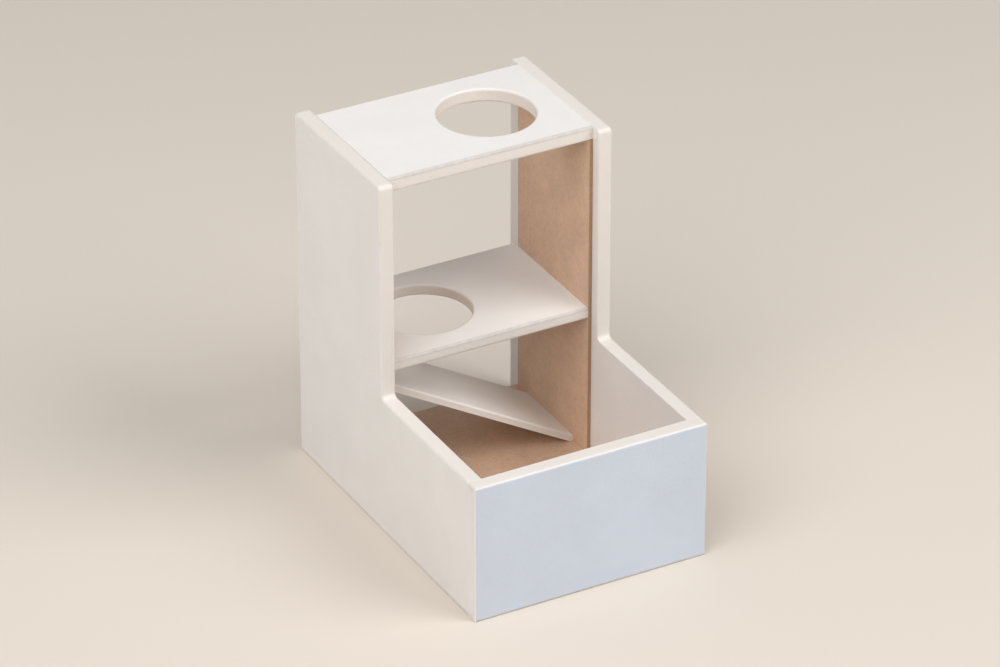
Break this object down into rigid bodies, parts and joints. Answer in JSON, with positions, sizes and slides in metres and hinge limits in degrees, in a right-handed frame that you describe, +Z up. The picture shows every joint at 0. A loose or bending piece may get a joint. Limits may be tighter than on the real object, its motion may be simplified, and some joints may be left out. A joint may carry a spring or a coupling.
{
  "type": "rodent play house",
  "caption": "Small painted fibreboard play house for a hamster: L-shaped sides, a low open tray in front, and a ramp, shelf and roof joined by round climbing holes.",
  "frame": {"origin": "middle of the footprint, on the ground plane", "axes": "+Z up; the low front with the blue board faces -Y and the open back faces +Y; +X is to the right seen from the front"},
  "size_m": [0.104, 0.15, 0.156],
  "materials": {
    "white_paint": "matt warm white paint on fibreboard",
    "blue_paint": "matt pale grey-blue paint on fibreboard, front face only",
    "raw_fibreboard": "unpainted fibreboard",
    "steel": "bright drawn wire"
  },
  "bodies": {
    "root": {"left_side_panel": "white_paint", "right_side_panel": "white_paint", "front_board": "blue_paint", "roof_board": "white_paint", "middle_shelf": "white_paint", "ramp": "white_paint", "floor_board": "raw_fibreboard", "left_lining": "raw_fibreboard", "right_lining": "raw_fibreboard", "roof_pins": "steel", "shelf_pins": "steel", "front_board_pins": "steel", "floor_pins": "steel"}
  },
  "joints": []
}
